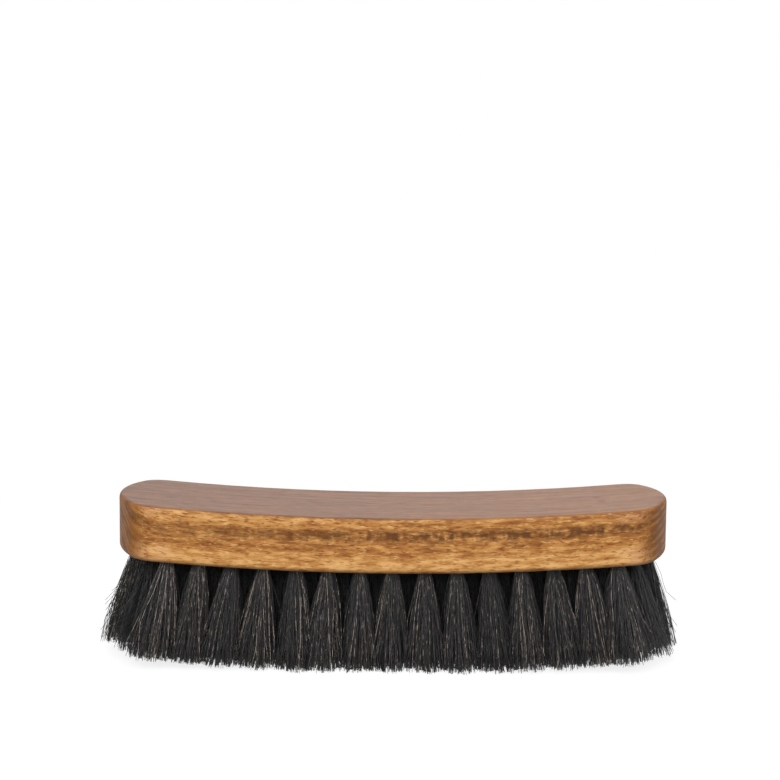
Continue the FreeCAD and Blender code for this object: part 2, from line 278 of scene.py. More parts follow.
streak_strength = wood.add(wood.times(wood.step(along, *STREAK_GAIN_PART), STREAK_GAIN), STREAK_LEAST)
streak = wood.times(wood.times(streak, blotches), streak_strength)
streak = wood.times(streak, wood.minus(1.0, ends))
colour = wood.mix(streak, colour, STREAK_COLOUR)

# the ends show the growth layers on edge: fine pale lines on the right, broad dark bands on the left
WAVER = 4.0
WAVER_CELL = (20.0, 12.0, 8.0)
LINE_SPACING = 2.7
LINE_EDGE = (0.4, 1.0)
LINE_CLOUD_CELL = (8.0, 7.0, 4.0)
LINE_CLOUD_EDGE = (0.3, 0.66)
RIGHT_END_COLOUR = paint(116, 69, 30)
RIGHT_LINE_COLOUR = paint(178, 122, 64)
BAND_SPACING = 8.0
BAND_START = 3.9
BAND_EDGE = (0.25, 0.95)
BAND_CLOUD_CELL = (9.0, 6.0, 5.0)
BAND_CLOUD_EDGE = (0.28, 0.6)
LEFT_END_COLOUR = paint(145, 88, 36)
LEFT_BAND_COLOUR = paint(78, 42, 14)
LEFT_LINE_COLOUR = paint(184, 128, 72)
LEFT_LINE_STRENGTH = 0.5
END_FLECK_COLOUR = paint(100, 62, 32)
END_FLECK_STRENGTH = 0.25
LEFT_TO_RIGHT = (-1.0, 1.0)
END_STRENGTH = 0.9
waver = wood.swing(wood.noise(level_spot, WAVER_CELL, detail=3.5, turn=8), WAVER)


def growth_wave(spacing, start=0.0):
    """A wave from 0 to 1 across the growth layers."""
    turns = wood.over(wood.minus(wood.add(growth, waver), start), spacing)
    wave = wood.maths("SINE", wood.times(turns, FULL_TURN))
    return wood.add(wood.times(wave, 0.5), 0.5)


line_clouds = wood.step(wood.noise(level_spot, LINE_CLOUD_CELL, detail=3.0, turn=13), *LINE_CLOUD_EDGE)
pale_lines = wood.times(wood.step(growth_wave(LINE_SPACING), *LINE_EDGE), line_clouds)
right_colour = wood.mix(pale_lines, RIGHT_END_COLOUR, RIGHT_LINE_COLOUR)
band_clouds = wood.step(wood.noise(level_spot, BAND_CLOUD_CELL, detail=4.0, turn=15), *BAND_CLOUD_EDGE)
dark_bands = wood.times(wood.step(growth_wave(BAND_SPACING, BAND_START), *BAND_EDGE), band_clouds)
left_colour = wood.mix(dark_bands, LEFT_END_COLOUR, LEFT_BAND_COLOUR)
left_colour = tinted(left_colour, pale_lines, LEFT_LINE_STRENGTH, LEFT_LINE_COLOUR)
end_colour = wood.mix(wood.step(along, *LEFT_TO_RIGHT), left_colour, right_colour)
end_colour = tinted(end_colour, dark_flecks, END_FLECK_STRENGTH, END_FLECK_COLOUR)
colour = tinted(colour, ends, END_STRENGTH, end_colour)

# pale patches where the sides turn into the ends, above and below mid height but not at it: painted
# highlights of the lamps on the rounded corners
TURN_START = (68.0, 74.0)
TURN_FINISH = (85.0, 79.0)
PAINTED_HIGHLIGHT_ABOVE = (4.5, 1.5)
PAINTED_HIGHLIGHT_BELOW = (10.5, 13.5)
PAINTED_HIGHLIGHT_CELL = (5.0, 5.0, 2.5)
PAINTED_HIGHLIGHT_EDGE = (0.35, 0.6)
PAINTED_HIGHLIGHT_STRENGTH = 0.5
PAINTED_HIGHLIGHT_COLOUR = paint(212, 160, 116)
turning = wood.times(wood.step(from_middle, *TURN_START), wood.step(from_middle, *TURN_FINISH))
highlight_heights = wood.add(wood.step(depth, *PAINTED_HIGHLIGHT_ABOVE), wood.step(depth, *PAINTED_HIGHLIGHT_BELOW))
highlight_cloud = wood.step(wood.noise(grain, PAINTED_HIGHLIGHT_CELL, detail=3.0, turn=12), *PAINTED_HIGHLIGHT_EDGE)
# painted highlight on the rounded corners, broken up by a cloud and kept off the dark flecks
painted_highlight = wood.times(wood.times(turning, highlight_heights), highlight_cloud)
painted_highlight = wood.times(painted_highlight, wood.minus(1.0, dark_flecks))
colour = tinted(colour, painted_highlight, PAINTED_HIGHLIGHT_STRENGTH, PAINTED_HIGHLIGHT_COLOUR)

# the lower edge is darker: painted shade where its rounding turns from the light, together with stain
# gathered there; stain also gathers, more thinly, along the upper edge
EDGE_CELL = (5.0, 5.0, 2.0)
EDGE_STAIN_AND_SHADE_STRENGTH = 0.45
LOW_EDGE_STAIN_AND_SHADE = (16.2, 17.6)
LOW_EDGE_STAIN_AND_SHADE_GAPS = (0.2, 0.5)
LOW_EDGE_STAIN_AND_SHADE_COLOUR = paint(84, 48, 22)
HIGH_EDGE = (1.6, 0.8)
HIGH_EDGE_GAPS = (0.4, 0.6)
HIGH_EDGE_COLOUR = paint(146, 88, 36)
edge_noise = wood.noise(grain, EDGE_CELL, detail=4.0, turn=9)
# painted shade and stain along the lower edge, broken by gaps
low_edge_stain_and_shade = wood.times(wood.step(depth, *LOW_EDGE_STAIN_AND_SHADE), wood.step(edge_noise, *LOW_EDGE_STAIN_AND_SHADE_GAPS))
colour = tinted(colour, low_edge_stain_and_shade, EDGE_STAIN_AND_SHADE_STRENGTH, LOW_EDGE_STAIN_AND_SHADE_COLOUR)
high_edge = wood.times(wood.step(depth, *HIGH_EDGE), wood.step(edge_noise, *HIGH_EDGE_GAPS))
colour = tinted(colour, high_edge, EDGE_STAIN_AND_SHADE_STRENGTH, HIGH_EDGE_COLOUR)

# the top takes the stain evenly: soft bands and flecks along it, fine short pores and two tiny knots
TOP_EDGE = (0.5, 0.12)
TOP_BAND_CELL = (34.0, 3.2, 2.0)
TOP_BAND_SHARE = 0.5
TOP_FLECK_CELL = (5.0, 1.0, 2.0)
TOP_FLECK_SHARE = 0.5
TOP_PALER_TO_RIGHT = 0.0006
TOP_GRAIN_EDGE = (0.34, 0.64)
TOP_DARK_COLOUR = paint(104, 58, 25)
TOP_PALE_COLOUR = paint(158, 103, 57)
PORE_CELL = (3.0, 0.4, 0.3)
PORE_EDGE = (0.44, 0.32)
PORE_STRENGTH = 0.7
PORE_COLOUR = paint(94, 55, 31)
KNOTS = ((67.3, 2.5), (68.5, -5.0))
KNOT_LENGTH = 1.5
KNOT_WIDTH = 2.2
KNOT_RAGGEDNESS = 2.0
KNOT_EDGE = (1.0, 0.5)
KNOT_STRENGTH = 0.8
KNOT_COLOUR = paint(112, 54, 20)
top = wood.step(depth, *TOP_EDGE)
pores = wood.noise(level_spot, PORE_CELL, detail=2.0, turn=10)
top_bands = wood.times(wood.noise(level_spot, TOP_BAND_CELL, detail=3.0, turn=11), TOP_BAND_SHARE)
top_flecks = wood.times(wood.noise(level_spot, TOP_FLECK_CELL, detail=5.0, turn=14), TOP_FLECK_SHARE)
top_grain = wood.add(wood.add(top_bands, top_flecks), wood.times(along, TOP_PALER_TO_RIGHT))
top_colour = wood.mix(wood.step(top_grain, *TOP_GRAIN_EDGE), TOP_DARK_COLOUR, TOP_PALE_COLOUR)
top_colour = tinted(top_colour, wood.step(pores, *PORE_EDGE), PORE_STRENGTH, PORE_COLOUR)
for knot_along, knot_across in KNOTS:
    past = wood.over(wood.minus(along, knot_along), KNOT_LENGTH)
    aside = wood.over(wood.minus(across, knot_across), KNOT_WIDTH)
    from_knot = wood.add(wood.distance(past, aside), wood.swing(pores, KNOT_RAGGEDNESS))
    top_colour = tinted(top_colour, wood.step(from_knot, *KNOT_EDGE), KNOT_STRENGTH, KNOT_COLOUR)
colour = wood.mix(top, colour, top_colour)

# the lacquer is satin, a little smoother on the top and duller on the ends
PORE_RELIEF = 0.4
PORE_HEIGHT = 0.0002
LACQUER_SHINE = 0.2
LACQUER_ROUGHNESS = 0.34
PATCHY_ROUGHNESS = 0.2
TOP_SMOOTHNESS = 0.08
END_DULLNESS = 0.12
relief = {"Strength": PORE_RELIEF, "Distance": PORE_HEIGHT, "Height": pores}
roughness = wood.add(wood.times(patches, PATCHY_ROUGHNESS), LACQUER_ROUGHNESS)
roughness = wood.minus(roughness, wood.times(top, TOP_SMOOTHNESS))
dull_ends = wood.times(ends, wood.minus(1.0, top))
roughness = wood.add(roughness, wood.times(dull_ends, END_DULLNESS))
dress(wood, beech_surface, {
    "Base Color": colour,
    "Roughness": roughness,
    "Specular IOR Level": LACQUER_SHINE,
    "Normal": wood.node("ShaderNodeBump", relief).outputs[0],
})
coat("block", beech)

# The wire anchors
# Short lengths of flat drawn steel wire, pressed into the holes over the fold of each tuft. Their
# ends bite into the wood and hold the hair. None of them shows on the finished brush.
ROWS = ("front", "front_inner", "middle", "rear_inner", "rear")
DRAWING_CELL = (0.08, 2.0, 0.08)
STEEL_STOPS = (
    (0.3, paint(126, 127, 130)),
    (0.7, paint(178, 179, 182)),
)
STEEL_ROUGHNESS = 0.2
DRAWN_ROUGHNESS = 0.3
steel, metal, steel_surface = new_material("drawn_steel_wire")
wire_spot = metal.scaled(metal.node("ShaderNodeTexCoord").outputs["Object"], MILLIMETRES)
drawing_lines = metal.noise(wire_spot, DRAWING_CELL)
dress(metal, steel_surface, {
    "Base Color": metal.ramp(drawing_lines, STEEL_STOPS),
    "Roughness": metal.add(metal.times(drawing_lines, DRAWN_ROUGHNESS), STEEL_ROUGHNESS),
    "Metallic": 1.0,
})
for row in ROWS:
    coat(f"anchors_{row}", steel)

# The tufts of hair
# Dark horsehair, folded over a wire in each drilled hole. The hair leaves the hole as a tight round
# bundle, spreads as it goes down and is trimmed to a curve. A few hairs are grey or brown.
HAIR_ROUGHNESS = 0.38
HAIR_SHINE = 0.5
CRIMP_GLINT_CELL = (0.065, 0.003, 1.0)
CRIMP_GLINT_CONTRAST = 1.2
HAIR_STOPS = (
    (0.0, paint(21, 20, 21)),
    (0.45, paint(36, 35, 36)),
    (0.75, paint(64, 61, 60)),
    (0.93, paint(106, 98, 93)),
    (1.0, paint(190, 176, 162)),
)
horsehair, hair, hair_surface = new_material("horsehair")
strand_tone = hair.node("ShaderNodeAttribute", attribute_name="tone").outputs["Fac"]
strand_along = hair.node("ShaderNodeAttribute", attribute_name="along").outputs["Fac"]
# the tone brightens and darkens in short stretches along each strand: painted glints and shade, where crimped
# and crossing hair would catch or lose the light
painted_crimp_glints = hair.noise(hair.vector_of(strand_along, strand_tone), CRIMP_GLINT_CELL)
tone_with_painted_glints = hair.add(strand_tone, hair.swing(painted_crimp_glints, CRIMP_GLINT_CONTRAST))
dress(hair, hair_surface, {
    "Base Color": hair.ramp(tone_with_painted_glints, HAIR_STOPS),
    "Roughness": HAIR_ROUGHNESS,
    "Specular IOR Level": HAIR_SHINE,
})

# one straight strand, which the tree repeats and bends, with a map of its tube and its two end caps
STRAND_SIDES = 3
STRAND_LEVELS = (-1.0, 0.0, 0.15, 0.32, 0.49, 0.66, 0.83, 1.0)
TUBE_MAP_FOOT = 0.07
TUBE_MAP_HEIGHT = 0.86
CAP_MAP_START = 0.1
CAP_MAP_STEP = 0.4
CAP_MAP_HEIGHT = 0.05


def keep_on_points(mesh, name, kind, values):
    """Store one value, a number or a vector, on each point of a mesh."""
    items = mesh.attributes.new(name, kind, "POINT").data
    for item, value in zip(items, values):
        setattr(item, "vector" if kind == "FLOAT_VECTOR" else "value", value)


def cap_corner(side, edge, inside):
    """A corner of an end cap on the map. The middle one lies on the edge and the others inside it."""
    return (CAP_MAP_START + CAP_MAP_STEP * side, edge if side == 1 else inside)


def strand_blank():
    """One straight strand as a closed three sided tube. The tree later bends it by its attributes:
    along runs from -1 at the fold through 0 at the mouth of the hole to 1 at the tip."""
    sides = range(STRAND_SIDES)
    angles = [FULL_TURN * side / STRAND_SIDES for side in sides]
    points = [(math.cos(angle), math.sin(angle), level) for level in STRAND_LEVELS for angle in angles]
    last_level = len(STRAND_LEVELS) - 1
    faces = [tuple(reversed(sides))]
    face_maps = [[cap_corner(side, 0.0, CAP_MAP_HEIGHT) for side in reversed(sides)]]
    for level_number in range(last_level):
        below = level_number * STRAND_SIDES
        above = below + STRAND_SIDES
        low = TUBE_MAP_FOOT + TUBE_MAP_HEIGHT * level_number / last_level
        high = TUBE_MAP_FOOT + TUBE_MAP_HEIGHT * (level_number + 1) / last_level
        for side in sides:
            beside = (side + 1) % STRAND_SIDES
            faces.append((below + side, below + beside, above + beside, above + side))
            left = side / STRAND_SIDES
            right = (side + 1) / STRAND_SIDES
            face_maps.append([(left, low), (right, low), (right, high), (left, high)])
    faces.append(tuple(last_level * STRAND_SIDES + side for side in sides))
    face_maps.append([cap_corner(side, 1.0, 1.0 - CAP_MAP_HEIGHT) for side in sides])
    mesh = bpy.data.meshes.new("strand_blank")
    mesh.from_pydata(points, [], faces)
    keep_on_points(mesh, "around", "FLOAT_VECTOR", points)
    keep_on_points(mesh, "along", "FLOAT", [level for level in STRAND_LEVELS for side in sides])
    layer = mesh.uv_layers.new(name="OFBake")
    for item, corner in zip(layer.data, itertools.chain(*face_maps)):
        item.uv = corner
    return bpy.data.objects.new("strand_blank", mesh)


# the tree that fills the seats with hair
INPUT_KINDS = {
    "Strand": "NodeSocketObject",
    "Material": "NodeSocketMaterial",
    "Hairs": "NodeSocketInt",
    "Hair Radius": "NodeSocketFloat",
    "Root Radius": "NodeSocketFloat",
    "Root Depth": "NodeSocketFloat",
    "Tip Radius": "NodeSocketFloat",
    "Lock Width": "NodeSocketFloat",
    "Trim Centre": "NodeSocketFloat",
    "Trim Radius": "NodeSocketFloat",
    "Trim Half Length": "NodeSocketFloat",
    "Map Columns": "NodeSocketInt",
    "Seed": "NodeSocketInt",
}
hair_tree = bpy.data.node_groups.new("hair_tufts", "GeometryNodeTree")
hair_tree.interface.new_socket("Seats", in_out="INPUT", socket_type="NodeSocketGeometry")
hair_tree.interface.new_socket("Hair", in_out="OUTPUT", socket_type="NodeSocketGeometry")
hair_inputs = {name: hair_tree.interface.new_socket(name, in_out="INPUT", socket_type=kind).identifier
               for name, kind in INPUT_KINDS.items()}
tuft = Graph(hair_tree)
given = tuft.node("NodeGroupInput").outputs
random_draws = itertools.count()


def named(name, data_type="FLOAT"):
    """The value of a stored attribute."""
    return tuft.node("GeometryNodeInputNamedAttribute", {"Name": name}, data_type=data_type).outputs[0]


def stored(geometry, name, value, data_type="FLOAT", domain="POINT"):
    """The geometry with one more attribute."""
    inputs = {"Geometry": geometry, "Name": name, "Value": value}
    return tuft.node("GeometryNodeStoreNamedAttribute", inputs, data_type=data_type, domain=domain).outputs[0]


def chance(low, high):
    """A random number for each hair, of its own draw. Sockets 2 and 3 are the limits of a plain number."""
    draw = tuft.add(given["Seed"], float(next(random_draws)))
    inputs = {2: low, 3: high, "Seed": draw}
    return tuft.node("FunctionNodeRandomValue", inputs, data_type="FLOAT").outputs[1]


# each seat is repeated once for each hair, spread evenly over the round bundle
GOLDEN_ANGLE = math.pi * (3 - math.sqrt(5))
ACROSS = (0.0, 1.0, 0.0)
seats_and_hairs = {"Geometry": given["Seats"], "Amount": given["Hairs"]}
copies = tuft.node("GeometryNodeDuplicateElements", seats_and_hairs, domain="POINT")
hair_number = copies.outputs["Duplicate Index"]
mouth = tuft.node("GeometryNodeInputPosition").outputs[0]
axis = named("axis", "FLOAT_VECTOR")
east = tuft.vectors("NORMALIZE", tuft.vectors("CROSS_PRODUCT", ACROSS, axis))
north = tuft.vectors("CROSS_PRODUCT", axis, east)
from_axis = tuft.maths("SQRT", tuft.over(tuft.add(hair_number, 0.5), given["Hairs"]))
round_axis = tuft.times(hair_number, GOLDEN_ANGLE)


def in_bundle(distance, direction):
    """A place in the bundle's cross section, by its distance from the middle and its direction."""
    reach_east = tuft.scaled(east, tuft.times(distance, tuft.maths("COSINE", direction)))
    reach_north = tuft.scaled(north, tuft.times(distance, tuft.maths("SINE", direction)))
    return tuft.vectors("ADD", reach_east, reach_north)


# the tips keep about the same order, and a few hairs stray outwards
TIP_SCATTER = (-0.26, 0.08)
TIP_TURN = (-1.0, 1.0)
STRAY_REACH = 0.3
root_offset = in_bundle(tuft.times(from_axis, given["Root Radius"]), round_axis)
stray = tuft.step(chance(0.0, 1.0), tuft.minus(1.0, named("strays")), 1.0)
tip_from_axis = tuft.add(tuft.add(from_axis, chance(*TIP_SCATTER)), tuft.times(stray, STRAY_REACH))
tip_round_axis = tuft.add(round_axis, chance(*TIP_TURN))
tip_radius = tuft.times(given["Tip Radius"], named("fullness"))
tip_offset = in_bundle(tuft.times(tip_from_axis, tip_radius), tip_round_axis)
tip_offset = tuft.vectors("ADD", tip_offset, named("sway", "FLOAT_VECTOR"))

# the tips gather in small locks, each drawn part of the way to the middle of its lock
LEVEL = (1.0, 1.0, 0.0)
LOCK_PULL = 0.45
tip_on_level = tuft.vectors("MULTIPLY", tuft.vectors("ADD", mouth, tip_offset), LEVEL)
tip_in_locks = tuft.scaled(tip_on_level, tuft.over(1.0, given["Lock Width"]))
lock_cells = {"Vector": tip_in_locks, "Scale": 1.0}
locks = tuft.node("ShaderNodeTexVoronoi", lock_cells, voronoi_dimensions="2D").outputs
lock_chances = tuft.parts_of(locks["Color"])
to_lock_middle = tuft.vectors("SUBTRACT", tuft.vectors("MULTIPLY", locks["Position"], LEVEL), tip_in_locks)
lock_pull = tuft.scaled(to_lock_middle, tuft.times(given["Lock Width"], LOCK_PULL))

# every hair is cut where it meets the trimmed curve, which runs level past its half length; hair in
# some locks ends a little higher, and a hair that strays is a short one
SHORT_LOCK = 0.0007
SHORT_LOCK_RARITY = 2.0
SHORT_HAIR = 0.0004
SHORT_HAIR_RARITY = 3.0
STRAY_SHORTENING = (0.1, 0.5)
axis_parts = tuft.parts_of(axis)
mouth_parts = tuft.parts_of(mouth)
offset_parts = tuft.parts_of(tip_offset)
steepness = tuft.times(axis_parts[2], -1.0)
straight_reach = tuft.over(mouth_parts[2], steepness)
tip_along = tuft.add(tuft.add(mouth_parts[0], offset_parts[0]), tuft.times(axis_parts[0], straight_reach))
trim_along = tuft.maths("MINIMUM", tuft.maths("ABSOLUTE", tip_along), given["Trim Half Length"])
curve_drop = tuft.maths("SQRT", tuft.minus(tuft.squared(given["Trim Radius"]), tuft.squared(trim_along)))
trim_level = tuft.maths("MAXIMUM", 0.0, tuft.minus(given["Trim Centre"], curve_drop))
short_lock = tuft.times(tuft.maths("POWER", lock_chances[0], SHORT_LOCK_RARITY), SHORT_LOCK)
short_hair = tuft.times(tuft.maths("POWER", chance(0.0, 1.0), SHORT_HAIR_RARITY), SHORT_HAIR)
drop = tuft.minus(tuft.add(mouth_parts[2], offset_parts[2]), trim_level)
full_reach = tuft.over(tuft.minus(drop, tuft.add(short_lock, short_hair)), steepness)
kept_length = tuft.minus(1.0, tuft.times(stray, chance(*STRAY_SHORTENING)))
reach = tuft.times(full_reach, kept_length)

# each hair has its own bow, wave and tone, and takes them along on its strand
MOST_BOW = 0.0011
MOST_WAVE = 0.0007
WAVE_TURNS = (6.0, 14.0)
STRAY_LATENESS = 0.6
PALEST_TONE = 0.97
LOCK_TONE = 0.2
late = tuft.minus(1.0, tuft.times(stray, STRAY_LATENESS))
bow = in_bundle(chance(0.0, MOST_BOW), chance(0.0, FULL_TURN))
wave = in_bundle(chance(0.0, MOST_WAVE), chance(0.0, FULL_TURN))
wave_turns = chance(*WAVE_TURNS)
wave_start = chance(0.0, FULL_TURN)
hair_tone = tuft.add(chance(0.0, PALEST_TONE), tuft.swing(lock_chances[1], LOCK_TONE))
hair_values = {
    "root": (tuft.vectors("ADD", mouth, root_offset), "FLOAT_VECTOR"),
    "spread": (tuft.vectors("SUBTRACT", tip_offset, root_offset), "FLOAT_VECTOR"),
    "pull": (lock_pull, "FLOAT_VECTOR"),
    "reach": (reach, "FLOAT"),
    "hair_flare": (tuft.times(named("flare"), late), "FLOAT"),
    "bow": (bow, "FLOAT_VECTOR"),
    "wave": (wave, "FLOAT_VECTOR"),
    "wave_turns": (wave_turns, "FLOAT"),
    "wave_start": (wave_start, "FLOAT"),
    # the seat's paleness darkens the tone of the inner tufts as painted shade
    "tone": (tuft.times(hair_tone, named("paleness")), "FLOAT"),
    "strand_number": (tuft.node("GeometryNodeInputIndex").outputs[0], "INT"),
}
hairs = copies.outputs["Geometry"]
for value_name, (value, kind) in hair_values.items():
    hairs = stored(hairs, value_name, value, kind)
strand_shape = tuft.node("GeometryNodeObjectInfo", {"Object": given["Strand"]}).outputs["Geometry"]
instances = tuft.node("GeometryNodeInstanceOnPoints", {"Points": hairs, "Instance": strand_shape}).outputs[0]
strands = tuft.node("GeometryNodeRealizeInstances", {"Geometry": instances}).outputs[0]

# bend each strand: straight in its hole, then spreading from the mouth to its tip, with its bow fullest
# half way down
LOCK_BEND = 1.5
FULL_BOW = 4.0
below_mouth = tuft.maths("MAXIMUM", named("along"), 0.0)
in_hole = tuft.maths("MINIMUM", named("along"), 0.0)
to_tip = tuft.minus(1.0, below_mouth)
spread = named("spread", "FLOAT_VECTOR")
down = tuft.add(tuft.times(named("reach"), below_mouth), tuft.times(given["Root Depth"], in_hole))
flare = tuft.minus(1.0, tuft.maths("POWER", to_tip, named("hair_flare")))
bulge = tuft.times(tuft.times(below_mouth, to_tip), FULL_BOW)
start_angle = named("wave_start")
wave_angle = tuft.add(tuft.times(below_mouth, named("wave_turns")), start_angle)
sideways = tuft.minus(tuft.maths("SINE", wave_angle), tuft.maths("SINE", start_angle))
bends = (
    (axis, down),
    (spread, flare),
    (named("pull", "FLOAT_VECTOR"), tuft.maths("POWER", below_mouth, LOCK_BEND)),
    (named("bow", "FLOAT_VECTOR"), bulge),
    (named("wave", "FLOAT_VECTOR"), sideways),
)
middle = named("root", "FLOAT_VECTOR")
for way, amount in bends:
    middle = tuft.vectors("ADD", middle, tuft.scaled(way, amount))
heading = tuft.vectors("NORMALIZE", tuft.vectors("ADD", tuft.scaled(axis, named("reach")), spread))
thick_east = tuft.vectors("NORMALIZE", tuft.vectors("CROSS_PRODUCT", heading, ACROSS))
thick_north = tuft.vectors("CROSS_PRODUCT", heading, thick_east)
around = tuft.parts_of(named("around", "FLOAT_VECTOR"))
skin = tuft.vectors("ADD", tuft.scaled(thick_east, around[0]), tuft.scaled(thick_north, around[1]))
skin_place = tuft.vectors("ADD", middle, tuft.scaled(skin, given["Hair Radius"]))
strands = tuft.node("GeometryNodeSetPosition", {"Geometry": strands, "Position": skin_place}).outputs[0]

# each strand has a cell of its own on the map that its colour is kept on
CELL_FILL = 0.9
CELL_MARGIN = (0.05, 0.05, 0.0)
strand_number = named("strand_number", "INT")
map_column = tuft.maths("MODULO", strand_number, given["Map Columns"])
map_row = tuft.maths("FLOOR", tuft.over(strand_number, given["Map Columns"]))
in_cell = tuft.vectors("ADD", tuft.scaled(named("OFBake", "FLOAT_VECTOR"), CELL_FILL), CELL_MARGIN)
in_cells = tuft.vectors("ADD", tuft.vector_of(map_column, map_row), in_cell)
on_map = tuft.scaled(in_cells, tuft.over(1.0, given["Map Columns"]))
strands = stored(strands, "OFBake", on_map, "FLOAT2", "CORNER")
strands = tuft.node("GeometryNodeSetShadeSmooth", {"Geometry": strands}).outputs[0]
strands_and_material = {"Geometry": strands, "Material": given["Material"]}
finished = tuft.node("GeometryNodeSetMaterial", strands_and_material).outputs[0]
tuft.node("NodeGroupOutput", {"Hair": finished})

# the seats are the holes: five staggered rows that fan out along the block and across it
MIDDLE_ROW_TUFTS = 17
END_MARGIN = 0.007
SIDE_MARGIN = 0.007
FAN_LEAN = math.radians(9)
ROW_LEAN = math.radians(4)
block_length = block_high.x - block_low.x
block_width = block_high.y - block_low.y
tuft_pitch = (block_length - 2 * END_MARGIN) / (MIDDLE_ROW_TUFTS - 1)
row_pitch = (block_width - 2 * SIDE_MARGIN) / (len(ROWS) - 1)
steps_to_end = (MIDDLE_ROW_TUFTS - 1) / 2
rows_to_side = (len(ROWS) - 1) / 2
under_radius = ARCH_RADIUS + BLOCK_HEIGHT

# the tufts near the ends are fuller and springier, more so on the left, and no two tufts are quite alike
END_STARTS = 0.75
END_FULLNESS = 1.25
STRAIGHT_FLARE = 1.0
SPRINGY_FLARE = 1.6
STRAY_SHARE = 0.05
SPRINGY_STRAY_SHARE = 0.35
RIGHT_SPRING = 0.6
RIGHT_DARKENING = 0.15
INNER_PAINTED_SHADE_PALENESS = 0.3
SWAY_ALONG = 0.0012
SWAY_ACROSS = 0.0006
UNEVEN_FLARE = 0.15
UNEVEN_FULLNESS = 0.06
UNEVEN_PALENESS = 0.06
UNEVEN_SEED = 7
SEAT_VALUES = {
    "axis": "FLOAT_VECTOR",
    "sway": "FLOAT_VECTOR",
    "flare": "FLOAT",
    "fullness": "FLOAT",
    "strays": "FLOAT",
    "paleness": "FLOAT",
}
tuft_chances = random.Random(UNEVEN_SEED)


def uneven(most):
    """How far one tuft departs from the others, up or down."""
    return tuft_chances.uniform(-most, most)


def seat(steps_along, rows_back):
    """The mouth of a hole in the arched underside, the way that its tuft leans and sways, how soon and how
    far it spreads, and its shares of stray and of paler hair. The inner rows hold only the darkest hair, as
    painted shade between the rows."""
    hole_along = steps_along * tuft_pitch
    hole_level = arch_centre - math.sqrt(under_radius ** 2 - hole_along ** 2)
    fan = steps_along / steps_to_end * FAN_LEAN
    lean = rows_back / rows_to_side * ROW_LEAN
    near_end = max(0.0, abs(steps_along) / steps_to_end - END_STARTS) / (1 - END_STARTS)
    springy = near_end if steps_along < 0 else RIGHT_SPRING * near_end
    own_flare = STRAIGHT_FLARE + (SPRINGY_FLARE - STRAIGHT_FLARE) * springy
    fullness = 1 + (END_FULLNESS - 1) * near_end if rows_back else 1.0
    # inner rows get little paleness, except near the ends: painted shade, as if little light reached them
    # past the outer tufts
    outside = 1.0 if abs(rows_back) == rows_to_side else near_end
    paleness = INNER_PAINTED_SHADE_PALENESS + (1 - INNER_PAINTED_SHADE_PALENESS) * outside
    if steps_along > 0:
        paleness *= 1 - RIGHT_DARKENING * near_end
    return {
        "mouth": Vector((hole_along, rows_back * row_pitch, hole_level)),
        "axis": Vector((math.sin(fan) * math.cos(lean), math.sin(lean), -math.cos(fan) * math.cos(lean))),
        "sway": Vector((uneven(SWAY_ALONG), uneven(SWAY_ACROSS), 0.0)),
        "flare": own_flare * (1 + uneven(UNEVEN_FLARE)),
        "fullness": fullness * (1 + uneven(UNEVEN_FULLNESS)),
        "strays": STRAY_SHARE + (SPRINGY_STRAY_SHARE - STRAY_SHARE) * springy,
        "paleness": paleness * (1 + uneven(UNEVEN_PALENESS)),
    }


# the hair is set in its seats row by row; the outer rows and the end tufts show, and hold more of it
HAIRS_IN_TUFT = {"front": 600, "front_inner": 440, "middle": 440, "rear_inner": 440, "rear": 600}
HAIRS_IN_END_TUFT = 750
HAIR_RADIUS = 0.000085
ROOT_RADIUS = 0.0019
ROOT_DEPTH = 0.0058
TIP_RADIUS = 0.0074
LOCK_WIDTH = 0.0018
TRIM_RADIUS = 0.780
TRIM_HALF_LENGTH = 0.080
FLAT_DEPTH = 0.0005
SEEDS_FOR_ROW = 1000
SEEDS_FOR_HALF_ROW = 500
SEEDS_FOR_TUFT = 50
blank = strand_blank()


def plant(name, seats, hairs_in_tuft, seed):
    """A piece of hair that fills these seats, still as points with the tree on them."""
    mesh = bpy.data.meshes.new(name)
    mesh.from_pydata([one_seat["mouth"] for one_seat in seats], [], [])
    for value_name, kind in SEAT_VALUES.items():
        keep_on_points(mesh, value_name, kind, [one_seat[value_name] for one_seat in seats])
    piece = bpy.data.objects.new(name, mesh)
    bpy.context.scene.collection.objects.link(piece)
    modifier = piece.modifiers.new("hair_tufts", "NODES")
    modifier.node_group = hair_tree
    values = {
        "Strand": blank,
        "Material": horsehair,
        "Hairs": hairs_in_tuft,
        "Hair Radius": HAIR_RADIUS,
        "Root Radius": ROOT_RADIUS,
        "Root Depth": ROOT_DEPTH,
        "Tip Radius": TIP_RADIUS,
        "Lock Width": LOCK_WIDTH,
        "Trim Centre": TRIM_RADIUS - FLAT_DEPTH,
        "Trim Radius": TRIM_RADIUS,
        "Trim Half Length": TRIM_HALF_LENGTH,
        "Map Columns": math.ceil(math.sqrt(hairs_in_tuft * len(seats))),
        "Seed": seed,
    }
    for input_name, value in values.items():
        modifier[hair_inputs[input_name]] = value
    return piece


